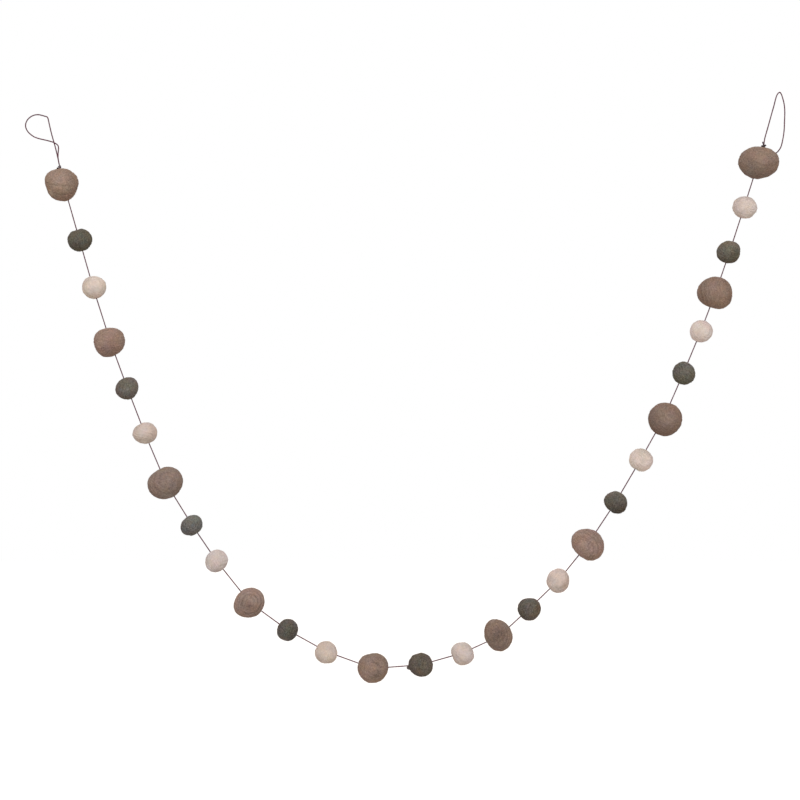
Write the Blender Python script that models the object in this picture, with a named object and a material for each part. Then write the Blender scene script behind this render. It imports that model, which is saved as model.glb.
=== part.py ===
# Felt ball garland: lumpy rolled-wool balls of two sizes and three colours, threaded on one thin
# waxed string. The string is tied at each end into a hanging loop, and the garland has the curve
# that it hangs in from those two loops.
# Metres, +Z up, +X along the garland, and its front faces -Y. The origin is where the left loop
# bears on what it hangs from.

import math

import bmesh
import bpy
from mathutils import Vector, noise

MM = 0.001

# String and its holes
STRING_RADIUS = 0.6 * MM
CLEARANCE = 0.3 * MM
STRING_BEVEL_STEPS = 2
HOLE_SIDES = 6
LOOP_POINTS = 26

# Felt balls. Heights and spreads are shares of the radius, and the steps are from ball to ball.
BALL_SUBDIVISIONS = 3
LUMP_HEIGHT = 0.012
LUMPS_ACROSS = 1.9
LUMP_STEP = Vector((3.7, 1.3, 0.0))
DEPTH_SPREAD = 0.04
DEPTH_STEP = 2.4
BULGES = 3

# Knots
KNOT_SIDES = 10
TAIL_SIDES = 6
TAIL_RADIUS = 0.55 * MM
KNOT_TURNS = (
    # along the string (mm), radius (mm): two turns of string drawn up side by side
    (-1.8, 1.45),
    (-1.4, 1.95),
    (-0.8, 2.15),
    (-0.1, 1.80),
    (0.5, 2.10),
    (1.2, 2.05),
    (1.8, 1.45),
)

# Where the string hangs: the right loop's bearing point from the left one's
SPAN = 942.2 * MM
RISE = 32.6 * MM

# Routes of the two loops in mm from their own bearing points: across, away from the viewer, up.
# The left one starts at its knot with the slack strand, and crosses in front of the taut one.
LEFT_LOOP = (
    (15.2, -1.7, -60.9),
    (14.0, -1.7, -54.4),
    (13.6, -1.7, -48.9),
    (14.0, -1.7, -43.3),
    (14.3, -1.8, -39.6),
    (13.4, -1.8, -35.8),
    (8.3, -1.7, -32.3),
    (-0.3, -0.9, -29.6),
    (-11.0, -0.2, -27.0),
    (-18.1, 0.0, -24.3),
    (-26.0, 0.0, -17.2),
    (-28.4, 0.0, -10.2),
    (-26.0, 0.0, -3.0),
    (-19.4, 0.0, 2.4),
    (-12.3, 0.0, 3.8),
    (-4.2, 0.0, 2.0),
    (-0.6, 0.0, 0.8),
    (0.5, 0.0, -1.0),
    (1.4, 0.0, -4.9),
    (4.9, 0.0, -20.1),
    (10.3, 0.0, -39.5),
    (15.8, 0.0, -63.4),
)
# The right one starts at its knot with the taut strand. Its slack strand hangs down the right side
# and comes back to the knot round the back of the last ball.
RIGHT_LOOP = (
    (-19.6, 0.0, -68.9),
    (-18.8, 0.0, -61.1),
    (-14.2, 0.0, -44.3),
    (-9.7, 0.0, -28.0),
    (-6.7, 0.0, -17.4),
    (-3.3, 0.0, -4.8),
    (-1.2, 0.0, -1.2),
    (0.9, 0.0, 0.0),
    (2.6, 0.0, -1.9),
    (3.9, 0.0, -5.2),
    (6.5, 0.0, -15.4),
    (7.3, 0.0, -25.4),
    (6.9, 0.0, -38.3),
    (6.5, 0.0, -48.3),
    (4.9, 0.0, -60.0),
    (2.1, 0.0, -70.8),
    (-0.8, 1.2, -75.3),
    (-3.2, 4.5, -77.7),
    (-6.3, 9.2, -78.0),
    (-10.3, 11.4, -75.8),
    (-14.8, 9.9, -72.6),
    (-17.9, 6.2, -70.5),
    (-19.0, 2.5, -69.5),
)

# One row for each ball, from the left loop to the right one. long and short are its widths seen
# from the front in mm, and tilt is how far the long one is turned up from level, in degrees. corner
# is how far its outline bulges on three sides, as a share of its radius, and face is where the
# first bulge lies, in degrees. low is how far its middle lies outside the string's curve in mm.
# run is the string from the middle of the ball before it, or of the left knot, in mm, and slope is
# how steeply that run falls to the right, in degrees.
BALL_COLUMNS = ("wool", "long", "short", "tilt", "corner", "face", "low", "run", "slope")
BALL_ROWS = (
    ("taupe", 43.5, 41.5, 140, 0.035, 30, 2.5, 22.3, 77.9),
    ("green", 31.5, 29.0, 10, 0.020, 40, -0.4, 75.6, 74.1),
    ("cream", 30.7, 29.2, 0, 0.015, 15, -1.1, 63.5, 74.0),
    ("taupe", 40.8, 37.3, 20, 0.025, 25, 1.4, 73.1, 72.4),
    ("green", 30.2, 27.7, 40, 0.030, 55, 0.5, 64.1, 69.8),
    ("cream", 31.5, 27.0, 10, 0.020, 65, -0.5, 62.0, 68.9),
    ("taupe", 46.3, 39.8, 25, 0.020, 65, 0.4, 69.5, 67.0),
    ("green", 29.8, 24.7, 35, 0.010, 70, 0.7, 63.9, 58.1),
    ("cream", 30.4, 27.4, 40, 0.015, 115, 0.0, 55.8, 55.7),
    ("taupe", 41.3, 36.4, 40, 0.020, 80, 0.6, 68.5, 51.4),
    ("green", 28.6, 26.6, 65, 0.010, 75, 0.1, 60.3, 36.0),
    ("cream", 29.1, 28.6, 135, 0.025, 80, 1.2, 57.4, 29.0),
    ("taupe", 40.0, 38.0, 20, 0.020, 30, -0.8, 63.6, 19.9),
    ("green", 31.5, 30.0, 160, 0.025, 65, 0.1, 61.6, -4.3),
    ("cream", 30.4, 27.9, 130, 0.010, 15, 0.7, 55.7, -15.8),
    ("taupe", 42.1, 34.6, 115, 0.020, 10, -1.9, 51.9, -24.5),
    ("green", 29.6, 29.1, 0, 0.020, 25, 0.5, 52.5, -42.5),
    ("cream", 31.4, 28.9, 80, 0.020, 60, 0.0, 52.2, -44.0),
    ("taupe", 44.5, 37.5, 140, 0.025, 45, 0.4, 60.6, -51.0),
    ("green", 30.7, 27.2, 145, 0.025, 50, 0.4, 64.8, -56.4),
    ("cream", 30.7, 28.7, 155, 0.005, 65, 0.6, 63.6, -59.6),
    ("taupe", 43.7, 42.7, 25, 0.010, 30, 2.2, 60.7, -60.8),
    ("green", 29.8, 28.8, 115, 0.015, 90, 0.7, 63.6, -66.4),
    ("cream", 29.6, 28.1, 10, 0.010, 110, 0.4, 58.5, -67.5),
    ("taupe", 45.8, 40.8, 170, 0.035, 65, -0.4, 52.8, -69.0),
    ("green", 30.8, 28.8, 20, 0.015, 55, -1.2, 55.2, -71.0),
    ("cream", 31.2, 28.7, 175, 0.005, 5, 0.8, 61.2, -72.0),
    ("taupe", 52.7, 41.1, 0, 0.025, 15, 0.5, 60.5, -72.5),
)
BALLS = tuple(dict(zip(BALL_COLUMNS, row)) for row in BALL_ROWS)

# Cut ends of string that stand out of each knot, in mm from the knot's middle
LEFT_TAILS = (
    ((0.0, -0.4, 0.2), (-1.5, -2.0, 0.1), (-2.8, -3.8, -1.4)),
)
RIGHT_TAILS = (
    ((0.0, 0.0, 0.6), (-1.3, -0.9, 2.2), (-1.1, -1.3, 4.4)),
    ((0.4, -0.6, 0.0), (2.2, -1.2, 0.3), (3.6, -1.2, 0.9)),
)

WOOLS = {
    "taupe": (0.26, 0.185, 0.14, 1.0),
    "green": (0.115, 0.10, 0.08, 1.0),
    "cream": (0.60, 0.50, 0.43, 1.0),
}
STRING_COLOUR = (0.13, 0.105, 0.115, 1.0)
FELT_ROUGHNESS = 0.95
STRING_ROUGHNESS = 0.7


def clear_scene():
    for obj in list(bpy.data.objects):
        bpy.data.objects.remove(obj, do_unlink=True)


def material(name, colour, roughness):
    made = bpy.data.materials.new(name)
    made.use_nodes = True
    shader = made.node_tree.nodes["Principled BSDF"]
    shader.inputs["Base Color"].default_value = colour
    shader.inputs["Roughness"].default_value = roughness
    shader.inputs["Metallic"].default_value = 0.0
    return made


def add_object(name, data, finish=None, location=(0, 0, 0)):
    obj = bpy.data.objects.new(name, data)
    obj.location = location
    bpy.context.collection.objects.link(obj)
    if finish is not None:
        obj.data.materials.append(finish)
    return obj


def hide_helper(obj):
    obj.hide_render = True
    obj.display_type = "WIRE"


def add_boolean(obj, operation, other):
    modifier = obj.modifiers.new(operation.title(), "BOOLEAN")
    modifier.operation = operation
    modifier.solver = "EXACT"
    modifier.object = other


def catmull_rom(p0, p1, p2, p3, share):
    """A point between p1 and p2 on the centripetal curve that passes through all four."""
    knots = [0.0]
    for near, far in ((p0, p1), (p1, p2), (p2, p3)):
        knots.append(knots[-1] + math.sqrt((far - near).length))
    t0, t1, t2, t3 = knots
    t = t1 + (t2 - t1) * share
    a1 = p0 * ((t1 - t) / (t1 - t0)) + p1 * ((t - t0) / (t1 - t0))
    a2 = p1 * ((t2 - t) / (t2 - t1)) + p2 * ((t - t1) / (t2 - t1))
    a3 = p2 * ((t3 - t) / (t3 - t2)) + p3 * ((t - t2) / (t3 - t2))
    b1 = a1 * ((t2 - t) / (t2 - t0)) + a2 * ((t - t0) / (t2 - t0))
    b2 = a2 * ((t3 - t) / (t3 - t1)) + a3 * ((t - t1) / (t3 - t1))
    return b1 * ((t2 - t) / (t2 - t1)) + b2 * ((t - t1) / (t2 - t1))


def smooth_route(points, count):
    """count points on a smooth curve through the route's own points, its ends included."""
    before = points[0] * 2 - points[1]
    after = points[-1] * 2 - points[-2]
    padded = [before, *points, after]
    spans = len(points) - 1
    route = []
    for step in range(count):
        place = step * spans / (count - 1)
        span = min(int(place), spans - 1)
        route.append(catmull_rom(*padded[span : span + 4], place - span))
    return route


def loop_route(rows, bearing):
    return smooth_route([bearing + Vector(row) * MM for row in rows], LOOP_POINTS)


def run_direction(slope):
    return Vector((math.cos(math.radians(slope)), 0.0, -math.sin(math.radians(slope))))


def threaded_points(left_knot):
    """Where the string passes through the middle of each ball, from the left knot on."""
    points = []
    place = left_knot
    for ball in BALLS:
        place = place + run_direction(ball["slope"]) * ball["run"] * MM
        points.append(place)
    return points


def ball_middle(ball, before, here, after):
    """The ball hangs off the string's curve, to the side that faces out and down."""
    travel = (after - before).normalized()
    outwards = Vector((travel.z, 0.0, -travel.x))
    return here + outwards * ball["low"] * MM


def felt_radius(direction, ball, number):
    """How far the felt reaches from the ball's middle in this direction."""
    tilt = math.radians(ball["tilt"])
    along = direction.x * math.cos(tilt) + direction.z * math.sin(tilt)
    across = direction.z * math.cos(tilt) - direction.x * math.sin(tilt)
    spread = DEPTH_SPREAD * math.sin(number * DEPTH_STEP)
    depth = (ball["long"] + ball["short"]) / 2 * (1 + spread)
    stretch = (
        (along / ball["long"]) ** 2
        + (across / ball["short"]) ** 2
        + (direction.y / depth) ** 2
    )
    radius = MM / (2 * math.sqrt(stretch))
    flatness = math.hypot(direction.x, direction.z)
    turn = math.atan2(direction.z, direction.x) - math.radians(ball["face"])
    bulge = ball["corner"] * flatness**BULGES * math.cos(BULGES * turn)
    lump = LUMP_HEIGHT * noise.noise(direction * LUMPS_ACROSS + LUMP_STEP * number)
    return radius * (1 + bulge + lump)


def felt_ball(name, ball, number, middle, finish, hole_cutter):
    mesh = bpy.data.meshes.new(name)
    form = bmesh.new()
    bmesh.ops.create_icosphere(form, subdivisions=BALL_SUBDIVISIONS, radius=1.0)
    for vertex in form.verts:
        direction = vertex.co.normalized()
        vertex.co = direction * felt_radius(direction, ball, number)
    form.to_mesh(mesh)
    form.free()
    mesh.shade_smooth()
    obj = add_object(name, mesh, finish, middle)
    add_boolean(obj, "DIFFERENCE", hole_cutter)
    return obj


def tube_mesh(name, points, radius, sides):
    """A closed tube through the points, its rings square to the way that it runs."""
    mesh = bpy.data.meshes.new(name)
    form = bmesh.new()
    rings = []
    for index, point in enumerate(points):
        arriving = point - points[max(index - 1, 0)]
        leaving = points[min(index + 1, len(points) - 1)] - point
        ahead = (arriving.normalized() + leaving.normalized()).normalized()
        side = ahead.cross(Vector((0.0, 1.0, 0.0))).normalized()
        back = side.cross(ahead)
        turns = [2 * math.pi * step / sides for step in range(sides)]
        ring = [
            form.verts.new(point + (side * math.cos(a) + back * math.sin(a)) * radius)
            for a in turns
        ]
        rings.append(ring)
    join_rings(form, rings)
    form.to_mesh(mesh)
    form.free()
    return mesh


def join_rings(form, rings):
    for near, far in zip(rings, rings[1:]):
        for index in range(len(near)):
            after = (index + 1) % len(near)
            form.faces.new((near[index], near[after], far[after], far[index]))
    form.faces.new(list(reversed(rings[0])))
    form.faces.new(rings[-1])
    bmesh.ops.recalc_face_normals(form, faces=form.faces)


def knot_mesh(name, ahead):
    """The drawn-up turns of string, turned about the strand that runs through them."""
    side = ahead.cross(Vector((0.0, 1.0, 0.0))).normalized()
    back = side.cross(ahead)
    mesh = bpy.data.meshes.new(name)
    form = bmesh.new()
    rings = []
    for along, radius in KNOT_TURNS:
        ring = []
        for step in range(KNOT_SIDES):
            turn = 2 * math.pi * step / KNOT_SIDES
            spoke = side * math.cos(turn) + back * math.sin(turn)
            ring.append(form.verts.new(ahead * along * MM + spoke * radius * MM))
        rings.append(ring)
    join_rings(form, rings)
    form.to_mesh(mesh)
    form.free()
    mesh.shade_smooth()
    return mesh


def knot(name, middle, ahead, tails, finish, hole_cutter):
    obj = add_object(name, knot_mesh(name, ahead), finish, middle)
    for number, tail in enumerate(tails, start=1):
        points = [Vector(point) * MM for point in tail]
        tail_name = f"{name}_tail_{number}"
        stub = add_object(
            tail_name, tube_mesh(tail_name, points, TAIL_RADIUS, TAIL_SIDES), None, middle
        )
        hide_helper(stub)
        add_boolean(obj, "UNION", stub)
    add_boolean(obj, "DIFFERENCE", hole_cutter)
    return obj


def string_tube(points, finish):
    curve = bpy.data.curves.new("string", "CURVE")
    curve.dimensions = "3D"
    curve.bevel_depth = STRING_RADIUS
    curve.bevel_resolution = STRING_BEVEL_STEPS
    curve.use_fill_caps = True
    spline = curve.splines.new("POLY")
    spline.points.add(len(points) - 1)
    for spline_point, place in zip(spline.points, points):
        spline_point.co = (*place, 1.0)
    return add_object("string", curve, finish)


def build_garland():
    clear_scene()
    left_loop = loop_route(LEFT_LOOP, Vector((0.0, 0.0, 0.0)))
    right_loop = loop_route(RIGHT_LOOP, Vector((SPAN, 0.0, RISE)))
    left_knot, right_knot = left_loop[-1], right_loop[0]
    threaded = threaded_points(left_knot)

    string_finish = material("waxed_string", STRING_COLOUR, STRING_ROUGHNESS)
    string_tube([*left_loop, *threaded, *right_loop], string_finish)

    taut_left, taut_right = left_loop[-2], right_loop[1]
    hole_route = [taut_left, left_knot, *threaded, right_knot, taut_right]
    hole_radius = (STRING_RADIUS + CLEARANCE) / math.cos(math.pi / HOLE_SIDES)
    hole_mesh = tube_mesh("string_hole", hole_route, hole_radius, HOLE_SIDES)
    hole_cutter = add_object("string_hole", hole_mesh)
    hide_helper(hole_cutter)

    wools = {
        name: material(f"{name}_felt", colour, FELT_ROUGHNESS) for name, colour in WOOLS.items()
    }
    stops = [left_knot, *threaded, right_knot]
    for number, ball in enumerate(BALLS, start=1):
        middle = ball_middle(ball, *stops[number - 1 : number + 2])
        name = f"ball_{number:02d}"
        felt_ball(name, ball, number, middle, wools[ball["wool"]], hole_cutter)

    into_left = (threaded[0] - taut_left).normalized()
    into_right = (taut_right - threaded[-1]).normalized()
    knot("left_knot", left_knot, into_left, LEFT_TAILS, string_finish, hole_cutter)
    knot("right_knot", right_knot, into_right, RIGHT_TAILS, string_finish, hole_cutter)


build_garland()
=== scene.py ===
import math

import bmesh
import bpy
import numpy as np
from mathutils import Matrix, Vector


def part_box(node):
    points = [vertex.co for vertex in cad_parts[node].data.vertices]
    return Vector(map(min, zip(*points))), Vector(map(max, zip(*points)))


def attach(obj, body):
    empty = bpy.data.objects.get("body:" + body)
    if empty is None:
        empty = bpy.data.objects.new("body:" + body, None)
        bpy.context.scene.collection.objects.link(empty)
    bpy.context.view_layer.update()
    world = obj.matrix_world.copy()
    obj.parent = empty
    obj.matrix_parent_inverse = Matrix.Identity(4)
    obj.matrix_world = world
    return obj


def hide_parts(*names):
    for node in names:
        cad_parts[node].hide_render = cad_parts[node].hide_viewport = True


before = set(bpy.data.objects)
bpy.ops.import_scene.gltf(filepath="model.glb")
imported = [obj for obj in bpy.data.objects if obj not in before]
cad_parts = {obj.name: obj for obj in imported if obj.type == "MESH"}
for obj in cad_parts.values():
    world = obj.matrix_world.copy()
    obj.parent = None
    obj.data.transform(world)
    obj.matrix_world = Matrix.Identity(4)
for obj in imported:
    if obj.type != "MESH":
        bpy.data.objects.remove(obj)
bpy.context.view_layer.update()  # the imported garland, in metres: +X along it, +Z up, and its front faces -Y
mm = 0.001

# Studio: front view, plain white surroundings and soft light from above

studio = {
    "lens": 135.0,  # mm
    "sensor": 36.0,  # mm
    "distance": 3.864,  # metres from the garland
    "sight": 50.0,  # metres that the camera sees
    "aim": (0.4539, 0.0, -0.3637),
    "floorHeight": -1.05,
    "floorReach": 9.0,
    "floorSides": 96,
    "floorColour": (0.62, 0.58, 0.54, 1.0),
    "floorGlow": 0.60,  # lifts the floor to white for the camera alone
    "skyLight": 0.57,
    "keyLight": 1.47,
    "keyColour": (0.99, 1.0, 1.02),
    "backLight": 0.45,
    "lightTilt": 55.0,  # degrees from straight down
    "lightSoftness": 45.0,  # degrees
}
white = (1.0, 1.0, 1.0, 1.0)


def addToScene(name, data):
    made = bpy.data.objects.new(name, data)
    bpy.context.scene.collection.objects.link(made)
    return made


def addCamera():
    lens = bpy.data.cameras.new("front_camera")
    lens.lens = studio["lens"]
    lens.sensor_width = studio["sensor"]
    lens.clip_end = studio["sight"]
    camera = addToScene("front_camera", lens)
    aimX, aimY, aimZ = studio["aim"]
    camera.location = (aimX, aimY - studio["distance"], aimZ)
    camera.rotation_euler = (math.radians(90), 0.0, 0.0)
    bpy.context.scene.camera = camera


def addLight(name, strength, turn):
    lamp = bpy.data.lights.new(name, "SUN")
    lamp.energy = strength
    lamp.color = studio["keyColour"]
    lamp.angle = math.radians(studio["lightSoftness"])
    light = addToScene(name, lamp)
    light.rotation_euler = (math.radians(studio["lightTilt"]), 0.0, math.radians(turn))


def addSurroundings():
    world = bpy.data.worlds.new("white_room")
    bpy.context.scene.world = world
    world.use_nodes = True
    nodes, links = world.node_tree.nodes, world.node_tree.links
    nodes.clear()
    path = nodes.new("ShaderNodeLightPath")
    lit = nodes.new("ShaderNodeBackground")
    seen = nodes.new("ShaderNodeBackground")
    choice = nodes.new("ShaderNodeMixShader")
    result = nodes.new("ShaderNodeOutputWorld")
    lit.inputs["Strength"].default_value = studio["skyLight"]
    for background in (lit, seen):
        background.inputs["Color"].default_value = white
    links.new(path.outputs["Is Camera Ray"], choice.inputs[0])
    links.new(lit.outputs[0], choice.inputs[1])
    links.new(seen.outputs[0], choice.inputs[2])
    links.new(choice.outputs[0], result.inputs["Surface"])


def addFloor():
    disc = bmesh.new()
    sides, reach = studio["floorSides"], studio["floorReach"]
    bmesh.ops.create_circle(disc, cap_ends=True, segments=sides, radius=reach)
    mesh = bpy.data.meshes.new("pale_floor")
    disc.to_mesh(mesh)
    disc.free()
    floor = addToScene("pale_floor", mesh)
    floor.location = (studio["aim"][0], 0.0, studio["floorHeight"])
    paint = bpy.data.materials.new("pale_floor")
    paint.use_nodes = True
    nodes, links = paint.node_tree.nodes, paint.node_tree.links
    shader = nodes["Principled BSDF"]
    shader.inputs["Base Color"].default_value = studio["floorColour"]
    shader.inputs["Roughness"].default_value = 1.0
    shader.inputs["Specular IOR Level"].default_value = 0.0
    shader.inputs["Emission Color"].default_value = white
    path = nodes.new("ShaderNodeLightPath")
    glow = nodes.new("ShaderNodeMath")
    glow.operation = "MULTIPLY"
    glow.inputs[1].default_value = studio["floorGlow"]
    links.new(path.outputs["Is Camera Ray"], glow.inputs[0])
    links.new(glow.outputs[0], shader.inputs["Emission Strength"])
    mesh.materials.append(paint)


addCamera()
addLight("soft_key", studio["keyLight"], 0.0)
addLight("soft_back", studio["backLight"], 180.0)
addSurroundings()
addFloor()
bpy.context.scene.view_settings.view_transform = "Standard"
bpy.context.scene.view_settings.look = "None"
print("studio set")

# Effects shared by the finishes


def newGroup(name, takes, gives):
    group = bpy.data.node_groups.new(name, "ShaderNodeTree")
    for label, kind, value in takes:
        socket = group.interface.new_socket(label, in_out="INPUT", socket_type=kind)
        if value is not None:
            socket.default_value = value
    for label, kind in gives:
        group.interface.new_socket(label, in_out="OUTPUT", socket_type=kind)
    source = group.nodes.new("NodeGroupInput")
    result = group.nodes.new("NodeGroupOutput")
    return group, source.outputs, result.inputs


def feed(links, socket, value):
    if isinstance(value, bpy.types.NodeSocket):
        links.new(value, socket)
    else:
        socket.default_value = value


def maths(tree, operation, *values):
    node = tree.nodes.new("ShaderNodeMath")
    node.operation = operation
    for socket, value in zip(node.inputs, values):
        feed(tree.links, socket, value)
    return node.outputs[0]


def vectorMaths(tree, operation, first, second=None, scale=None):
    node = tree.nodes.new("ShaderNodeVectorMath")
    node.operation = operation
    feed(tree.links, node.inputs[0], first)
    if second is not None:
        feed(tree.links, node.inputs[1], second)
    if scale is not None:
        feed(tree.links, node.inputs["Scale"], scale)
    return node.outputs[0]


def vectorDot(tree, first, second):
    node = tree.nodes.new("ShaderNodeVectorMath")
    node.operation = "DOT_PRODUCT"
    feed(tree.links, node.inputs[0], first)
    feed(tree.links, node.inputs[1], second)
    return node.outputs["Value"]


def noiseNode(tree, place, scale, detail=2.0, roughness=0.5, distortion=0.0):
    node = tree.nodes.new("ShaderNodeTexNoise")
    for label, value in (
        ("Vector", place),
        ("Scale", scale),
        ("Detail", detail),
        ("Roughness", roughness),
        ("Distortion", distortion),
    ):
        feed(tree.links, node.inputs[label], value)
    return node.outputs


def spread(tree, value, low, high, bottom=0.0, top=1.0):
    node = tree.nodes.new("ShaderNodeMapRange")
    for label, number in (
        ("Value", value),
        ("From Min", low),
        ("From Max", high),
        ("To Min", bottom),
        ("To Max", top),
    ):
        feed(tree.links, node.inputs[label], number)
    return node.outputs[0]


def blendColours(tree, share, first, second):
    node = tree.nodes.new("ShaderNodeMix")
    node.data_type = "RGBA"
    feed(tree.links, node.inputs["Factor"], share)
    feed(tree.links, node.inputs[6], first)
    feed(tree.links, node.inputs[7], second)
    return node.outputs[2]


strandForm = {
    "drift": 0.35,  # how fine the curls are, as a share of the fibres per metre
    "secondLayer": (0.37, 0.11, 0.23),  # metres away, so that the layers differ
    "fibreNoise": (3.0, 0.55, 1.2),  # detail, roughness, distortion
    "fibreWidth": 0.09,  # of the noise, to each side of its middle
    "fluff": 2.2,  # times finer than the fibres
    "fluffNoise": (3.0, 0.6),
    "strandHeight": 0.6,
}
blendForm = {
    "patchNoise": (5.0, 0.72),  # detail, roughness
    "goldNoise": (5.0, 0.75),
    "goldPlace": (0.53, 0.29, 0.71),  # metres away, so that gold and warm patches differ
    "goldTint": (0.3, 0.1, -1.0),  # red, green, blue
    "warmTint": (0.5, 0.0, -0.5),
    "full": (0.36, 0.64),  # noise at which a patch starts, and at which it is whole
    "cloud": 1.2,  # times finer than the patches
    "speck": 11.0,
    "speckNoise": (2.0, 0.6),
    "speckFull": (0.3, 0.7),
    "strandShare": 0.6,  # of the strand contrast
    "speckShare": 1.3,
    "smoothest": 0.82,  # the lowest roughness
}
ballShift = (0.31, 0.17, 0.0)  # metres of noise from one ball to the next, so that no two are alike


def fibreStrandsGroup():
    # curled fibres lying on each other: thin ridges of warped noise
    tree, takes, gives = newGroup(
        "fibre strands",
        (
            ("Place", "NodeSocketVector", None),
            ("Fibres per metre", "NodeSocketFloat", 900.0),
            ("Curl", "NodeSocketFloat", 0.6),
            ("Winding axis", "NodeSocketVector", (0.0, 0.0, 1.0)),
            ("Stretch", "NodeSocketFloat", 0.5),
        ),
        (("Strands", "NodeSocketFloat"), ("Height", "NodeSocketFloat")),
    )
    scale = takes["Fibres per metre"]
    wide = maths(tree, "MULTIPLY", scale, strandForm["drift"])
    drift = noiseNode(tree, takes["Place"], wide)["Color"]
    drift = vectorMaths(tree, "SUBTRACT", drift, (0.5, 0.5, 0.5))  # to both sides
    reach = maths(tree, "DIVIDE", takes["Curl"], wide)
    bent = vectorMaths(
        tree, "ADD", takes["Place"], vectorMaths(tree, "SCALE", drift, scale=reach)
    )
    along = vectorDot(tree, bent, takes["Winding axis"])
    axisPart = vectorMaths(tree, "SCALE", takes["Winding axis"], scale=along)
    squeeze = maths(tree, "SUBTRACT", 1.0, takes["Stretch"])
    flat = vectorMaths(tree, "SUBTRACT", bent, axisPart)
    wound = vectorMaths(tree, "ADD", axisPart, vectorMaths(tree, "SCALE", flat, scale=squeeze))
    ridges = []
    for place, shift in ((wound, (0.0, 0.0, 0.0)), (bent, strandForm["secondLayer"])):
        place = vectorMaths(tree, "ADD", place, shift)
        fibre = noiseNode(tree, place, scale, *strandForm["fibreNoise"])[0]
        away = maths(tree, "ABSOLUTE", maths(tree, "SUBTRACT", fibre, 0.5))
        ridges.append(spread(tree, away, 0.0, strandForm["fibreWidth"], 1.0, 0.0))
    strands = maths(tree, "MAXIMUM", *ridges)
    fine = maths(tree, "MULTIPLY", scale, strandForm["fluff"])
    fluff = noiseNode(tree, bent, fine, *strandForm["fluffNoise"])[0]
    raised = maths(tree, "MULTIPLY", strands, strandForm["strandHeight"])
    height = maths(tree, "ADD", raised, fluff)
    tree.links.new(strands, gives["Strands"])
    tree.links.new(height, gives["Height"])
    return tree


def fibreColourGroup():
    # blended dyed fibres: warm and cool patches, lighter strands, and painted shade where it is creased
    tree, takes, gives = newGroup(
        "fibre colour",
        (
            ("Place", "NodeSocketVector", None),
            ("Main", "NodeSocketColor", (0.5, 0.5, 0.5, 1.0)),
            ("Warm", "NodeSocketColor", (0.5, 0.4, 0.4, 1.0)),
            ("Cool", "NodeSocketColor", (0.4, 0.5, 0.4, 1.0)),
            ("Golden share", "NodeSocketFloat", 0.1),
            ("Patches per metre", "NodeSocketFloat", 110.0),
            ("Patchiness", "NodeSocketFloat", 0.5),
            ("Strands", "NodeSocketFloat", 0.0),
            ("Strand contrast", "NodeSocketFloat", 0.1),
            ("Streak", "NodeSocketFloat", 0.5),
            ("Streak contrast", "NodeSocketFloat", 0.1),
            ("Crease_shade", "NodeSocketFloat", 0.0),
            ("Crease shade", "NodeSocketFloat", 0.4),
            ("Tone", "NodeSocketFloat", 1.0),
            ("Warmth", "NodeSocketFloat", 0.0),
            ("Cloud contrast", "NodeSocketFloat", 0.1),
        ),
        (("Colour", "NodeSocketColor"), ("Roughness", "NodeSocketFloat")),
    )
    size = takes["Patches per metre"]
    patch = noiseNode(tree, takes["Place"], size, *blendForm["patchNoise"])[0]
    hue = spread(tree, patch, *blendForm["full"])
    tint = blendColours(tree, hue, takes["Cool"], takes["Warm"])
    colour = blendColours(tree, takes["Patchiness"], takes["Main"], tint)
    elsewhere = vectorMaths(tree, "ADD", takes["Place"], blendForm["goldPlace"])
    gold = noiseNode(tree, elsewhere, size, *blendForm["goldNoise"])[0]
    gold = spread(tree, gold, *blendForm["full"], -1.0, 1.0)
    gold = maths(tree, "MULTIPLY", gold, takes["Golden share"])
    golden = tree.nodes.new("ShaderNodeCombineXYZ")
    for part, share, tilt in zip(golden.inputs, blendForm["goldTint"], blendForm["warmTint"]):
        base = maths(tree, "ADD", 1.0, maths(tree, "MULTIPLY", takes["Warmth"], tilt))
        feed(tree.links, part, maths(tree, "ADD", base, maths(tree, "MULTIPLY", gold, share)))
    colour = vectorMaths(tree, "MULTIPLY", colour, golden.outputs[0])
    cloudSize = maths(tree, "MULTIPLY", size, blendForm["cloud"])
    cloud = noiseNode(tree, takes["Place"], cloudSize, 1.0)[0]
    speckSize = maths(tree, "MULTIPLY", size, blendForm["speck"])
    speck = noiseNode(tree, takes["Place"], speckSize, *blendForm["speckNoise"])[0]
    speck = spread(tree, speck, *blendForm["speckFull"])
    light = takes["Tone"]
    fibrous = takes["Strand contrast"]
    for mask, contrast in (
        (takes["Strands"], maths(tree, "MULTIPLY", fibrous, blendForm["strandShare"])),
        (speck, maths(tree, "MULTIPLY", fibrous, blendForm["speckShare"])),
        (takes["Streak"], takes["Streak contrast"]),
        (spread(tree, cloud, *blendForm["full"]), takes["Cloud contrast"]),
    ):
        swing = maths(tree, "SUBTRACT", mask, 0.5)
        light = maths(tree, "ADD", light, maths(tree, "MULTIPLY", swing, contrast))
    # painted shade: darker in creases, grooves, dimples, string holes and between plies
    paintedShade = maths(tree, "MULTIPLY", takes["Crease_shade"], takes["Crease shade"])
    light = maths(tree, "MULTIPLY", light, maths(tree, "SUBTRACT", 1.0, paintedShade))
    colour = vectorMaths(tree, "SCALE", colour, scale=light)
    tree.links.new(colour, gives["Colour"])
    roughness = spread(tree, speck, 0.0, 1.0, blendForm["smoothest"], 1.0)
    tree.links.new(roughness, gives["Roughness"])
    return tree


fibreStrands = fibreStrandsGroup()
fibreColour = fibreColourGroup()


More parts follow.
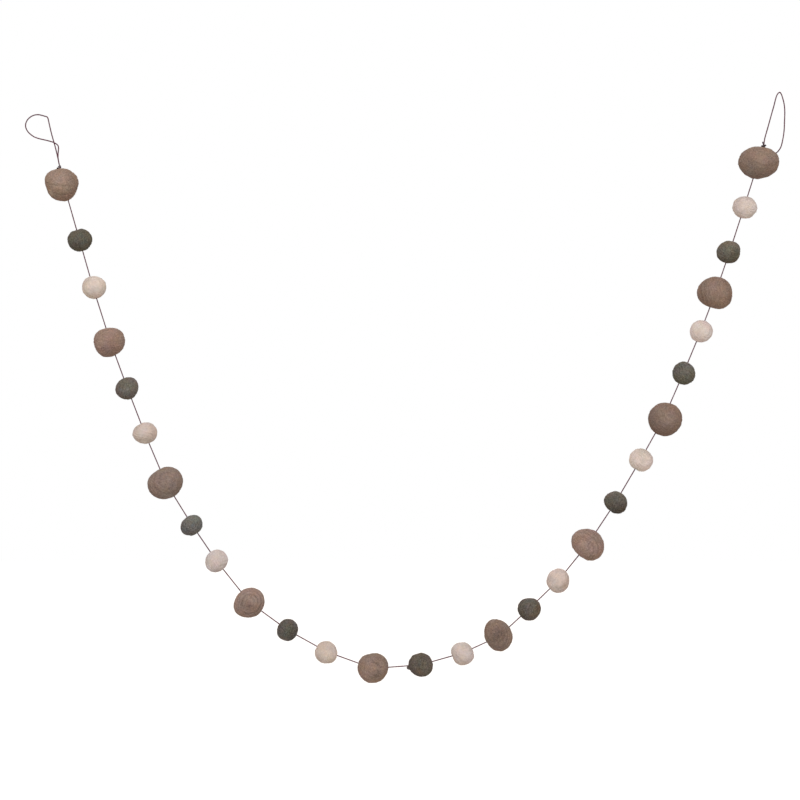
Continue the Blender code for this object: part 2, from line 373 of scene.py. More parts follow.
def fibreFinish(name, looks, number=0):
    finish = bpy.data.materials.new(name)
    finish.use_nodes = True
    tree = finish.node_tree
    shader = tree.nodes["Principled BSDF"]
    place = tree.nodes.new("ShaderNodeTexCoord").outputs["Object"]
    place = vectorMaths(tree, "ADD", place, tuple(number * part for part in ballShift))
    strands = tree.nodes.new("ShaderNodeGroup")
    strands.node_tree = fibreStrands
    tree.links.new(place, strands.inputs["Place"])
    colour = tree.nodes.new("ShaderNodeGroup")
    colour.node_tree = fibreColour
    tree.links.new(place, colour.inputs["Place"])
    tree.links.new(strands.outputs["Strands"], colour.inputs["Strands"])
    for group in (strands, colour):
        for label, value in looks["group"].items():
            if label in group.inputs:
                group.inputs[label].default_value = value
    for label in ("Streak", "Crease_shade", "Tone", "Warmth"):
        mask = tree.nodes.new("ShaderNodeAttribute")
        mask.attribute_name = label.lower()
        tree.links.new(mask.outputs["Fac"], colour.inputs[label])
    relief = tree.nodes.new("ShaderNodeBump")
    relief.inputs["Strength"].default_value = looks["bumpStrength"]
    relief.inputs["Distance"].default_value = looks["bumpHeight"]
    tree.links.new(strands.outputs["Height"], relief.inputs["Height"])
    tree.links.new(relief.outputs["Normal"], shader.inputs["Normal"])
    tree.links.new(colour.outputs["Colour"], shader.inputs["Base Color"])
    tree.links.new(colour.outputs["Roughness"], shader.inputs["Roughness"])
    for label, value in looks["shader"].items():
        shader.inputs[label].default_value = value
    return finish


def tinted(colour, shade, warmth, green=0.0):
    shares = (1 + warmth / 2, 1 + green, 1 - warmth / 2)
    return (*(part * shade * share for part, share in zip(colour, shares)), 1.0)


# The string: one length from knot to knot, with a loop at each end

stringLooks = {
    "radius": 0.83 * mm,
    "slackRadius": 0.87 * mm,  # in the loops, where no ball pulls on it
    "plies": 3,
    "plyDepth": 0.10,  # share of the radius
    "sides": 12,
    "step": 0.4 * mm,
    "hiddenStep": 8,  # steps from ring to ring inside a ball
    "hiddenShare": 0.8,  # of a ball's radius, inside which the string can't be seen
    "pitch": 3.4 * mm,  # one whole twist
    "unevenness": 0.04,
    "slubs": (0.0021, 0.0047, 0.013),  # metres along the string to a radian of thick and thin
    "slubStart": 1e5,
    "plyShade": 0.6,  # painted shade: how dark it is between the plies
    "colour": (0.175, 0.055, 0.082),
    "creaseShade": 0.45,
    "warm": (1.10, 0.15),  # patches in the wax: how light, and how much warmer
    "cool": (0.95, -0.15),
}
leftLoop = (  # metres, from the left knot with the slack strand, round, and back down taut
    (0.0152, -0.0017, -0.0609), (0.0140, -0.0017, -0.0544), (0.0136, -0.0017, -0.0489),
    (0.0140, -0.0017, -0.0433), (0.0143, -0.0018, -0.0396), (0.0134, -0.0018, -0.0358),
    (0.0083, -0.0017, -0.0323), (-0.0003, -0.0009, -0.0296), (-0.0110, -0.0002, -0.0270),
    (-0.0181, 0.0, -0.0243), (-0.0260, 0.0, -0.0172), (-0.0284, 0.0, -0.0102),
    (-0.0260, 0.0, -0.0030), (-0.0194, 0.0, 0.0024), (-0.0123, 0.0, 0.0038),
    (-0.0042, 0.0, 0.0020), (-0.0006, 0.0, 0.0008), (0.0005, 0.0, -0.0010),
    (0.0014, 0.0, -0.0049), (0.0049, 0.0, -0.0201), (0.0103, 0.0, -0.0395),
    (0.0158, 0.0, -0.0634),
)
threaded = (  # across and up, where the string passes through each ball
    (0.0205, -0.0852), (0.0412, -0.1579), (0.0587, -0.2190), (0.0808, -0.2886),
    (0.1029, -0.3488), (0.1252, -0.4066), (0.1524, -0.4706), (0.1862, -0.5249),
    (0.2176, -0.5710), (0.2603, -0.6245), (0.3091, -0.6599), (0.3593, -0.6878),
    (0.4191, -0.7094), (0.4806, -0.7048), (0.5342, -0.6896), (0.5814, -0.6681),
    (0.6201, -0.6326), (0.6576, -0.5964), (0.6958, -0.5493), (0.7316, -0.4953),
    (0.7638, -0.4404), (0.7934, -0.3875), (0.8189, -0.3292), (0.8413, -0.2751),
    (0.8602, -0.2258), (0.8782, -0.1736), (0.8971, -0.1154), (0.9153, -0.0577),
)
rightLoop = (  # from the right knot taut, round, and slack behind the last ball
    (0.9226, 0.0, -0.0363), (0.9234, 0.0, -0.0285), (0.9280, 0.0, -0.0117),
    (0.9325, 0.0, 0.0046), (0.9355, 0.0, 0.0152), (0.9389, 0.0, 0.0278),
    (0.9410, 0.0, 0.0314), (0.9431, 0.0, 0.0326), (0.9448, 0.0, 0.0307),
    (0.9461, 0.0, 0.0274), (0.9487, 0.0, 0.0172), (0.9495, 0.0, 0.0072),
    (0.9491, 0.0, -0.0057), (0.9487, 0.0, -0.0157), (0.9471, 0.0, -0.0274),
    (0.9443, 0.0, -0.0382), (0.9414, 0.0012, -0.0427), (0.9390, 0.0045, -0.0451),
    (0.9359, 0.0092, -0.0454), (0.9319, 0.0114, -0.0432), (0.9274, 0.0099, -0.0400),
    (0.9243, 0.0062, -0.0379), (0.9232, 0.0025, -0.0369),
)


def unit(vector):
    return vector / np.linalg.norm(vector, axis=-1, keepdims=True)


def softStep(values, low, high):
    share = np.clip((values - low) / (high - low), 0.0, 1.0)
    return share * share * (3 - 2 * share)


def smoothRoute(points, step):
    # centripetal curve through all the points, cut into short steps
    points = np.array(points, float)
    padded = np.vstack([2 * points[0] - points[1], points, 2 * points[-1] - points[-2]])
    route = []
    for index in range(len(points) - 1):
        p0, p1, p2, p3 = padded[index : index + 4]
        t0 = 0.0
        t1 = t0 + math.sqrt(np.linalg.norm(p1 - p0))
        t2 = t1 + math.sqrt(np.linalg.norm(p2 - p1))
        t3 = t2 + math.sqrt(np.linalg.norm(p3 - p2))
        count = max(int(np.linalg.norm(p2 - p1) / step), 1)
        for t in np.linspace(t1, t2, count, endpoint=False):
            a1 = (p0 * (t1 - t) + p1 * (t - t0)) / (t1 - t0)
            a2 = (p1 * (t2 - t) + p2 * (t - t1)) / (t2 - t1)
            a3 = (p2 * (t3 - t) + p3 * (t - t2)) / (t3 - t2)
            b1 = (a1 * (t2 - t) + a2 * (t - t0)) / (t2 - t0)
            b2 = (a2 * (t3 - t) + a3 * (t - t1)) / (t3 - t1)
            route.append((b1 * (t2 - t) + b2 * (t - t1)) / (t2 - t1))
    route.append(points[-1])
    return np.array(route)


def evenly(points, step):
    lengths = np.linalg.norm(np.diff(points, axis=0), axis=1)
    marks = np.concatenate([[0.0], np.cumsum(lengths)])
    walk = np.linspace(0.0, marks[-1], int(marks[-1] / step) + 1)
    return np.stack([np.interp(walk, marks, points[:, k]) for k in range(3)], axis=1), walk


def ropeRings(points, radius, twist, looks):
    # rings of plied string square to the way it runs, and how deep each point lies between plies
    ahead = unit(np.gradient(points, axis=0))
    side = unit(np.cross(ahead[0], (0.0, 1.0, 0.3)))  # any way that the string doesn't start in
    turns = np.arange(looks["sides"]) * 2 * math.pi / looks["sides"]
    plies = np.cos(turns * looks["plies"])
    rings = []
    for index, place in enumerate(points):
        side = unit(side - ahead[index] * (side @ ahead[index]))
        up = np.cross(ahead[index], side)
        angle = (turns + twist[index])[:, None]
        reach = radius[index] * (1 - looks["plyDepth"] + looks["plyDepth"] * plies)[:, None]
        rings.append(place + (side * np.cos(angle) + up * np.sin(angle)) * reach)
    depth = np.tile((1 - plies) / 2, len(points))
    return np.array(rings), depth


def ropeFaces(count, sides, first=0):
    faces = []
    for ring in range(count - 1):
        base = first + ring * sides
        for k in range(sides):
            after = (k + 1) % sides
            faces.append((base + k, base + after, base + sides + after, base + sides + k))
    faces.append(tuple(first + k for k in reversed(range(sides))))
    faces.append(tuple(first + (count - 1) * sides + k for k in range(sides)))
    return faces


def meshPiece(name, places, faces, finish, masks, middle=(0.0, 0.0, 0.0)):
    mesh = bpy.data.meshes.new(name)
    mesh.from_pydata(np.asarray(places).tolist(), [], faces)
    for label, values in masks.items():
        layer = mesh.attributes.new(label, "FLOAT", "POINT")
        layer.data.foreach_set("value", np.asarray(values, np.float32))
    mesh.shade_smooth()
    mesh.materials.append(finish)
    piece = addToScene(name, mesh)
    piece.location = middle
    return piece


def ballNodes():
    return sorted(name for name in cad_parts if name.startswith("ball_"))


def insideBalls(places):
    hidden = np.zeros(len(places), bool)
    for name in ballNodes():
        low, high = (np.array(corner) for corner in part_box(name))
        reach = (high - low).min() / 2 * stringLooks["hiddenShare"]
        hidden |= np.linalg.norm(places - (low + high) / 2, axis=1) < reach
    return hidden


def makeString(finish):
    looks = stringLooks
    loops = [smoothRoute(loop, looks["step"]) for loop in (leftLoop, rightLoop)]
    runs = [(across, 0.0, up) for across, up in threaded]
    centres, walk = evenly(np.vstack([loops[0], runs, loops[1]]), looks["step"])
    hidden = insideBalls(centres)
    kept = ~hidden | (np.arange(len(walk)) % looks["hiddenStep"] == 0)
    centres, walk, hidden = centres[kept], walk[kept], hidden[kept]
    steps = np.diff(walk, prepend=walk[0]) * ~hidden
    twist = np.cumsum(steps) * 2 * math.pi / looks["pitch"]
    slubs = [np.sin(walk / size + size * looks["slubStart"]) for size in looks["slubs"]]
    leftEnd, rightEnd = walk[len(loops[0])], walk[-1] - (len(loops[1]) * looks["step"])
    loose = (walk < leftEnd) | (walk > rightEnd)
    radius = np.where(loose, looks["slackRadius"], looks["radius"])
    radius = radius * (1 + looks["unevenness"] * sum(slubs) / len(slubs))
    rings, depth = ropeRings(centres, radius, twist, looks)
    faces = ropeFaces(len(centres), looks["sides"])
    masks = {
        # painted shade between the plies
        "crease_shade": depth * looks["plyShade"],
        "streak": np.full(len(depth), 0.5),
        "tone": np.ones(len(depth)),
    }
    string = meshPiece("garland_string", rings.reshape(-1, 3), faces, finish, masks)
    return string, centres, walk[-1]


def stringMaterial(name, colour, creaseShade):
    return fibreFinish(
        name,
        {
            "group": {
                "Fibres per metre": 4200.0,
                "Curl": 0.5,
                "Stretch": 0.0,
                "Golden share": 0.0,
                "Main": tinted(colour, 1.0, 0.0),
                "Warm": tinted(colour, *stringLooks["warm"]),
                "Cool": tinted(colour, *stringLooks["cool"]),
                "Patches per metre": 30.0,
                "Patchiness": 0.6,
                "Strand contrast": 0.2,
                "Streak contrast": 0.0,
                "Cloud contrast": 0.0,
                "Crease shade": creaseShade,
            },
            "shader": {"Specular IOR Level": 0.25, "Sheen Weight": 0.03},
            "bumpStrength": 0.5,
            "bumpHeight": 0.0001,
        },
    )


stringFinish = stringMaterial("waxed_string", stringLooks["colour"], stringLooks["creaseShade"])
string, stringLine, stringLength = makeString(stringFinish)
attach(string, "root")
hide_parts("string")
print("string laid,", round(stringLength, 3), "metres")

# The two knots: turns of the slack strand drawn up round the taut one

knotLooks = {
    "radius": 0.66 * mm,
    "tailRadius": 1.20 * mm,  # the cut ends fray and swell
    "step": 0.3 * mm,
    "pitch": 3.6 * mm,
    "wrapReach": 1.15,  # mm from the taut strand's middle
    "crossReach": 1.80,
    "turnPoints": 8,  # points of the route in each turn
    "crossShares": (0.3, 0.6, 0.9),  # of the way back over the turns
    "crossAngle": 55,  # degrees round from one to the next
    "swell": (3.2 * mm, 0.8 * mm),  # from the tip: where a cut end starts to swell, and where it ends
    "shades": (0.2, 0.5, 0.3),  # how dark: everywhere, with painted shade between the plies, and at the cut ends
    "colour": (0.145, 0.115, 0.125),
    "creaseShade": 0.75,
}
knots = {
    "left_knot": {
        "middle": (15.8, 0.0, -63.4),  # mm
        "ahead": (4.0, 0.0, -22.0),  # the way that the taut strand runs
        "arrives": ((-1.1, -1.7, 5.6), (-0.5, -1.7, 2.4)),  # mm from the middle
        "turns": (2.4, 255.0),  # how many, and the angle they start at
        "reach": (-1.3, 1.1),  # mm along the taut strand
        "tone": 1.9,
        "tails": (  # how light the cut end is, and where it goes
            (0.5, ((-0.7, -2.5, -1.1), (-1.6, -3.9, -1.9), (-2.8, -5.2, -2.3))),
            (1.9, ((0.4, -1.8, -0.5), (0.0, -2.6, -1.5), (-0.6, -3.4, -2.2))),
        ),
    },
    "right_knot": {
        "middle": (922.6, 0.0, -36.3),
        "ahead": (3.0, 0.0, 10.0),
        "arrives": ((1.5, 6.0, -1.6), (0.6, 2.5, -0.6)),
        "turns": (2.4, 75.0),
        "reach": (-1.1, 1.1),
        "tone": 1.0,
        "tails": (
            (3.2, ((-1.0, -1.4, 1.0), (-1.3, -1.5, 2.9), (-1.5, -1.4, 5.0))),
            (0.9, ((0.2, -1.7, -1.2), (1.2, -2.4, -0.4), (2.2, -2.4, 1.0))),
            (1.1, ((0.3, -1.9, -1.3), (-1.5, -2.8, -0.9), (-3.5, -3.6, -0.5))),
        ),
    },
}


def knotRoute(knot):
    ahead = unit(np.array(knot["ahead"]))
    side = unit(np.cross(ahead, (0.0, 1.0, 0.0)))
    back = np.cross(side, ahead)
    turns, start = knot["turns"]
    low, high = knot["reach"]
    points = [np.array(point) for point in knot["arrives"]]
    for share in np.linspace(0.0, 1.0, int(turns * knotLooks["turnPoints"])):
        angle = math.radians(start + 360 * turns * share)
        spoke = side * math.cos(angle) + back * math.sin(angle)
        along = low + (high - low) * share
        points.append(ahead * along + spoke * knotLooks["wrapReach"])
    for share in knotLooks["crossShares"]:
        angle += math.radians(knotLooks["crossAngle"])
        spoke = side * math.cos(angle) + back * math.sin(angle)
        along = high + (low - high) * share
        points.append(ahead * along + spoke * knotLooks["crossReach"])
    points.extend(np.array(point) for point in knot["tails"][0][1])
    return points


def makeKnot(name, finish):
    knot = knots[name]
    routes = [knotRoute(knot)]
    routes.extend([np.array(point) for point in tail] for _, tail in knot["tails"][1:])
    places, faces, depths, tones = [], [], [], []
    for (endTone, _), route in zip(knot["tails"], routes):
        fine = smoothRoute(np.array(route) * mm, knotLooks["step"])
        centres, walk = evenly(fine, knotLooks["step"])
        twist = walk * 2 * math.pi / knotLooks["pitch"]
        swell = softStep(walk, *(walk[-1] - back for back in knotLooks["swell"]))
        radius = knotLooks["radius"] + (knotLooks["tailRadius"] - knotLooks["radius"]) * swell
        rings, depth = ropeRings(centres, radius, twist, stringLooks)
        first = sum(len(part) for part in places)
        faces.extend(ropeFaces(len(centres), stringLooks["sides"], first))
        places.append(rings.reshape(-1, 3))
        swell = np.repeat(swell, stringLooks["sides"])
        flat, between, ends = knotLooks["shades"]
        # painted shade between the plies, plus an overall darkening and darker cut ends
        depths.append(flat + between * depth + ends * swell)
        tones.append(knot["tone"] * (1 - swell) + endTone * swell)
    crease_shade, tone = np.concatenate(depths), np.concatenate(tones)
    masks = {"crease_shade": crease_shade, "streak": crease_shade * 0 + 0.5, "tone": tone}
    middle = [value * mm for value in knot["middle"]]
    return meshPiece(f"tied_{name}", np.vstack(places), faces, finish, masks, middle)


knotFinish = stringMaterial("knotted_string", knotLooks["colour"], knotLooks["creaseShade"])
for name in knots:
    tied = makeKnot(name, knotFinish)
    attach(tied, "root")
    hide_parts(name)
print("knots tied")

# The felt balls

felt = {
    "subdivisions": 6,
    "outside": 0.62,  # of the furthest reach: what is nearer is the wall of the string hole
    "nap": 0.12,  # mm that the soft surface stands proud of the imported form
    "waveSizes": (0.7, 1.4),  # fewest and most waves to the size that is asked for
    "bandTilt": 0.22,  # how far bands of winding stray from the way that they are wound
    "drift": (13.0, 0.9),  # mm across, and mm that the relief is drawn aside
    "crossed": (24.0, 0.8),  # mm across, and how much, where the wool is wound another way
    "crossedFrom": (0.2, 1.2),  # wave heights at which that starts, and at which it is whole
    "lumps": (9.0, 0.15),  # mm across, and mm high
    "winding": (3.4, 0.11),
    "grain": (2.2, 0.025),
    "grooveWidth": 1.2,  # mm
    "grooveWander": (16.0, 1.2),  # mm across, and degrees
    "grooveShown": (0.2, 0.8),  # cosines of the angle from the middle of the side it shows on
    "grooveShade": 2.2,  # painted shade in a groove: how dark, to a mm of depth
    "grooveShades": (-0.8, 1.0),  # the painted shade: the lightest, on a ridge, and the darkest
    # painted shade in dimples and string holes, to a mm of depth
    "dimpleShade": 1.6,
    "holeDimple": (1.3, 1.0),  # mm wide and deep, where the string goes in
}
looseFibres = {  # thin tapered spikes that bend once
    "count": {"taupe": 900, "green": 520, "cream": 520},
    "length": 1.7,  # mm
    "lengths": (0.5, 1.5),  # the shortest and the longest, as shares of the length
    "radius": 0.032,  # mm
    "root": 0.2,  # mm below the surface
    "lift": (12.0, 55.0),  # degrees from the surface
    "bend": 0.45,  # share of the length from the root to the bend
    "bendWidth": 0.75,
    "beyond": 0.5,  # share of the length from the bend to the tip
    "curl": 0.6,  # radians
    "rise": 0.2,  # what is left of the lift beyond the bend
    "corners": (0.0, 2.1, 4.2),  # radians round the fibre
    "streak": 0.7,  # how light, on the scale of the bands of winding
}
feltFinish = {  # what all the balls share
    "group": {
        "Fibres per metre": 950.0,
        "Curl": 0.8,
        "Stretch": 0.55,
        "Patches per metre": 60.0,
        "Patchiness": 0.9,
        "Crease shade": 0.36,
    },
    "shader": {
        "Specular IOR Level": 0.08,
        "Sheen Weight": 0.05,
        "Sheen Roughness": 0.6,
        "Sheen Tint": (1.0, 0.42, 0.32, 1.0),
    },
    "bumpStrength": 0.6,
    "bumpHeight": 0.0003,
}
wools = {
    "taupe": {
        "colour": (0.285, 0.1985, 0.1595),
        "warm": (0.300, 0.1935, 0.1545),
        "cool": (0.265, 0.2005, 0.1645),
        "contrasts": {"Strand contrast": 0.43, "Streak contrast": 0.16, "Cloud contrast": 0.09},
        "golden": 0.08,
    },
    "green": {
        "colour": (0.1350, 0.1215, 0.0995),
        "warm": (0.1490, 0.1175, 0.0935),
        "cool": (0.1175, 0.1245, 0.1035),
        "contrasts": {"Strand contrast": 0.72, "Streak contrast": 0.16, "Cloud contrast": 0.12},
        "golden": 0.13,
    },
    "cream": {
        "colour": (0.686, 0.575, 0.515),
        "warm": (0.719, 0.566, 0.501),
        "cool": (0.652, 0.582, 0.525),
        "contrasts": {"Strand contrast": 0.14, "Streak contrast": 0.09, "Cloud contrast": 0.12},
        "golden": 0.06,
    },
}
ballColumns = ("wool", "shade", "warmth", "green", "axis", "wound")  # axis: right, front, up
ballRows = (
    ("taupe", 1.06, 0.12, 0.03, (0.1, 0.25, 1.0), 1.3),
    ("green", 0.87, 0.06, 0.04, (0.9, 0.2, 0.3), 1.0),
    ("cream", 1.02, 0.04, 0.02, (0.2, 0.9, 0.4), 0.8),
    ("taupe", 1.12, 0.06, -0.01, (-0.1, 0.2, 1.0), 1.1),
    ("green", 1.14, -0.06, -0.03, (0.6, 0.3, -0.7), 0.9),
    ("cream", 0.89, 0.06, 0.01, (0.3, 0.3, 0.9), 0.8),
    ("taupe", 0.98, -0.06, 0.03, (0.12, 0.95, 0.1), 1.2),
    ("green", 1.27, -0.09, -0.03, (0.5, 0.2, 0.8), 0.7),
    ("cream", 0.98, -0.06, -0.02, (0.6, 0.5, 0.6), 0.8),
    ("taupe", 1.16, 0.00, 0.00, (0.12, 0.98, 0.1), 1.0),
    ("green", 0.87, -0.05, -0.03, (0.2, 0.6, 0.7), 0.9),
    ("cream", 0.93, 0.08, 0.01, (0.8, 0.5, 0.2), 0.9),
    ("taupe", 1.05, 0.03, 0.02, (0.6, 0.4, 0.7), 0.8),
    ("green", 0.95, 0.04, -0.04, (0.4, 0.8, 0.3), 0.9),
    ("cream", 0.97, 0.00, 0.00, (0.3, 0.6, 0.7), 0.8),
    ("taupe", 0.99, 0.00, 0.02, (-0.35, 0.92, 0.1), 1.1),
    ("green", 0.96, 0.03, -0.03, (0.7, 0.6, 0.1), 1.1),
    ("cream", 0.99, 0.01, -0.02, (0.5, 0.7, -0.5), 0.9),
    ("taupe", 1.21, 0.01, -0.01, (-0.52, 0.8, -0.29), 1.2),
    ("green", 0.85, 0.09, -0.01, (0.2, 0.9, 0.4), 0.8),
    ("cream", 1.09, 0.01, 0.01, (0.7, 0.3, 0.6), 1.0),
    ("taupe", 0.81, 0.10, 0.01, (0.3, 0.8, 0.5), 0.8),
    ("green", 1.00, 0.01, 0.02, (0.8, 0.3, 0.5), 1.1),
    ("cream", 1.12, -0.03, -0.01, (0.4, 0.8, 0.4), 0.7),
    ("taupe", 0.97, 0.08, 0.02, (0.8, 0.6, 0.2), 1.0),
    ("green", 1.03, 0.11, 0.00, (0.3, 0.5, 0.8), 1.1),
    ("cream", 1.02, 0.00, 0.01, (0.2, 0.4, 0.9), 0.9),
    ("taupe", 0.92, 0.06, 0.03, (0.2, 0.4, 0.9), 0.9),
)
ballGrooves = {  # by ball: axis, degrees from it, mm deep (a ridge below 0), and the side it shows on
    1: (
        ((0.0, 0.3, 1.0), 62, 0.12, (0.3, 0.2)),
        ((0.1, 0.3, 1.0), 80, 0.22, (-0.5, -0.1)),
        ((0.1, 0.3, 1.0), 111, 0.24, (0.0, -0.6)),
    ),
    4: (((0.1, 0.2, 1.0), 75, 0.17, (-0.3, 0.3)),),
    7: (((0.2, 0.95, 0.2), 30, 0.20, (-0.3, 0.2)), ((0.2, 0.95, 0.2), 52, 0.23, (-0.4, -0.3))),
    10: (
        ((0.12, 0.98, 0.1), 17, 0.20, (0.4, 0.2)),
        ((0.10, 0.98, 0.1), 33, 0.35, (-0.2, 0.6)),
        ((0.08, 0.98, 0.1), 51, 0.38, (0.5, -0.2)),
    ),
    16: (
        ((-0.35, 0.92, 0.1), 53, -0.40, (0.8, -0.2)),
        ((-0.35, 0.92, 0.1), 59, 0.34, (0.8, -0.3)),
        ((-0.35, 0.92, 0.1), 65, -0.46, (0.8, -0.3)),
        ((-0.35, 0.92, 0.1), 71, 0.34, (0.8, -0.2)),
        ((-0.35, 0.92, 0.1), 77, -0.40, (0.8, -0.2)),
    ),
    18: (((0.1, 0.95, 0.2), 50, 0.10, (0.6, -0.1)),),
    19: (
        ((-0.52, 0.80, -0.29), 66, 0.34, (0.4, 0.4)),
        ((-0.52, 0.80, -0.29), 46, 0.24, (0.2, 0.1)),
        ((-0.52, 0.80, -0.29), 84, 0.22, (0.6, 0.5)),
    ),
    22: (((0.1, 0.9, 0.3), 40, 0.17, (-0.3, -0.5)),),
    25: (((0.9, 0.4, 0.1), 125, 0.29, (-0.6, 0.2)), ((0.9, 0.4, 0.1), 108, 0.23, (-0.5, -0.2))),
    28: (((0.2, 0.5, 0.9), 70, 0.20, (0.2, 0.1)),),
}
ballDimples = {  # by ball: right and up as shares of the radius, mm wide, mm deep
    2: ((-0.2, 0.3, 1.0, 0.2),),
    13: ((0.35, -0.15, 1.4, 0.45), (0.1, -0.45, 1.2, 0.35), (0.55, 0.1, 1.0, 0.25)),
    14: ((-0.05, 0.1, 0.8, 0.3), (0.45, 0.1, 0.8, 0.3), (-0.7, 0.05, 0.9, 0.3)),
    16: ((-0.3, -0.35, 1.0, 0.3),),
    17: ((0.2, 0.2, 0.8, 0.25), (-0.3, -0.2, 0.8, 0.25)),
    19: ((0.6, -0.68, 1.2, 0.4), (-0.13, -0.58, 1.0, 0.3), (-0.6, 0.16, 1.0, 0.3)),
    20: ((0.3, -0.3, 0.8, 0.2),),
    23: ((-0.2, 0.3, 0.8, 0.25), (0.35, -0.1, 0.8, 0.2)),
    25: ((-0.55, 0.35, 1.8, 0.35), (-0.4, 0.0, 1.0, 0.25), (0.2, -0.4, 1.2, 0.2)),
    26: ((0.1, 0.3, 0.9, 0.25),),
    28: ((-0.3, -0.2, 1.4, 0.25), (0.4, -0.3, 1.2, 0.2)),
}
ballPresses = {  # by ball: on how many sides it bulges, mm, and degrees round from the right
    1: ((1, 0.13, -39), (4, 0.16, 41), (5, 0.44, 11)),
    2: ((2, 0.20, 18), (4, 0.13, -16), (5, 0.17, 6), (6, 0.16, 17)),
    3: ((1, 0.15, 55),),
    4: ((1, 0.14, 113), (2, 0.14, -75), (4, 0.37, -29)),
    5: ((1, 0.24, 99), (4, 0.14, 27)),
    7: ((1, 0.16, 158), (3, 0.13, 49), (4, 0.24, -13), (5, 0.17, 19)),
    9: ((2, 0.16, -69),),
    10: ((1, 0.18, -158), (2, 0.17, -29), (4, 0.27, 30)),
    11: ((4, 0.19, 30),),
    12: ((4, 0.15, -45), (6, 0.13, 6)),
    13: ((1, 0.14, -155), (4, 0.15, -34), (6, 0.13, 6)),
    14: ((1, 0.20, 27), (3, 0.17, 12)),
    15: ((1, 0.15, -88), (4, 0.32, -23)),
    16: ((5, 0.19, -23), (6, 0.22, 1)),
    19: ((5, 0.15, -14),),
    20: ((4, 0.16, -9),),
    21: ((1, 0.18, -92), (4, 0.20, 11), (5, 0.18, -8), (6, 0.16, -19)),
    22: ((6, 0.14, -20),),
    23: ((1, 0.15, 166),),
    24: ((1, 0.22, 0), (2, 0.16, 84), (3, 0.13, -3)),
    25: ((2, 0.18, -82), (4, 0.26, 35)),
    26: ((1, 0.16, 16), (4, 0.16, 37), (5, 0.18, 28)),
    27: ((2, 0.13, -15), (5, 0.15, -8), (6, 0.14, -3)),
    28: ((2, 0.18, 74), (3, 0.25, -53), (5, 0.22, -34)),
}
ballFades = {  # by ball: how much lighter it is drawn towards the right and the top
    1: (-0.05, 0.06), 2: (0.00, 0.16), 3: (0.05, -0.05), 5: (0.06, -0.02),
    8: (0.06, 0.10), 12: (0.06, -0.11), 13: (-0.01, -0.15), 14: (0.06, -0.08),
    15: (-0.01, -0.10), 16: (0.04, -0.10), 17: (0.07, -0.02), 18: (-0.06, -0.03),
    19: (-0.02, -0.12), 20: (0.01, 0.27), 21: (-0.06, -0.17), 22: (0.10, 0.06),
    23: (0.07, 0.00), 24: (0.00, -0.08), 25: (0.06, -0.05), 26: (0.01, 0.15),
    27: (0.01, -0.13), 28: (0.06, 0.06),
}
ballPatches = {  # plain marks, drawn lighter or darker and warmer or cooler: right, up, radians wide, lighter, warmer
    1: ((0.0, 0.0, 0.6, 0.25, -0.15), (-0.6, -0.5, 0.2, 0.55, -0.15)),
    2: ((0.4, 0.6, 0.4, -0.25, -0.10), (-0.3, -0.4, 0.2, -0.25, 0.15)),
    4: ((0.0, -0.6, 0.4, -0.20, -0.10), (-0.4, 0.1, 0.3, 0.20, 0.05)),
    5: ((0.0, -0.2, 0.3, 0.30, -0.10), (0.0, 0.8, 0.6, 0.05, 0.20)),
    6: ((0.2, -0.8, 0.2, 0.20, -0.05),),
    7: ((0.3, -0.8, 0.3, 0.25, -0.20),),
    8: ((-0.2, 0.1, 0.6, -0.10, -0.20), (-0.2, 0.8, 0.6, 0.15, -0.15)),
    9: ((-0.6, -0.6, 0.3, 0.20, -0.10),),
    10: ((0.1, -0.2, 0.3, -0.35, 0.05), (-0.6, 0.0, 0.4, -0.20, -0.15)),
    11: ((-0.3, -0.8, 0.4, 0.40, 0.10), (0.4, -0.2, 0.4, -0.20, 0.15)),
    13: ((0.2, -0.4, 0.3, -0.45, -0.05), (0.3, 0.4, 0.2, -0.40, -0.05)),
    14: ((0.3, 0.6, 0.4, -0.35, 0.10), (0.0, -0.6, 0.3, 0.00, 0.35)),
    16: ((-0.1, 0.0, 0.6, -0.45, 0.05), (0.2, 0.4, 0.3, -0.20, 0.10)),
    17: ((0.8, 0.1, 0.5, -0.25, 0.40), (-0.6, 0.0, 0.6, -0.10, -0.20)),
    18: ((-0.6, 0.3, 0.4, -0.20, 0.00), (0.6, -0.4, 0.4, -0.15, 0.20)),
    19: ((0.1, -0.8, 0.3, -0.20, 0.00),),
    20: ((0.0, -0.6, 0.2, -0.25, 0.05),),
    22: ((0.1, -0.1, 0.4, 0.25, -0.10), (-0.6, 0.1, 0.6, 0.10, -0.20)),
    23: ((0.3, -0.2, 0.6, 0.05, -0.15), (0.0, 0.3, 0.3, 0.25, 0.05)),
    24: ((0.0, 0.8, 0.4, 0.00, 0.15),),
    25: ((0.6, 0.6, 0.3, -0.25, 0.15), (0.8, -0.3, 0.3, -0.25, 0.00)),
    26: ((-0.1, 0.2, 0.4, 0.25, 0.05), (0.2, -0.3, 0.3, -0.20, 0.05)),
    28: ((0.0, 0.1, 0.4, 0.20, -0.05), (-0.6, -0.6, 0.4, 0.10, -0.20)),
}
ballNubs = {14: ((-0.96, -0.23), 2.6, 2.8)}  # a knotted tuft: place, mm wide, mm high


def unitSphere(subdivisions):
    form = bmesh.new()
    bmesh.ops.create_icosphere(form, subdivisions=subdivisions, radius=1.0)
    places = unit(np.array([vertex.co[:] for vertex in form.verts]))
    faces = np.array([[vertex.index for vertex in face.verts] for face in form.faces])
    form.free()
    return places, faces


def formTerms(ways):
    # all products of x, y and z of the fourth and fifth degree: any soft round form
    x, y, z = ways.T
    return np.stack(
        [
            x**i * y**j * z ** (degree - i - j)
            for degree in (4, 5)
            for i in range(degree + 1)
            for j in range(degree + 1 - i)
        ],
        axis=1,
    )


def viewed(right, front, up):
    return unit(np.array((right, -front, up)))


def onFront(right, up):
    return viewed(right, math.sqrt(max(0.0, 1 - right**2 - up**2)), up)


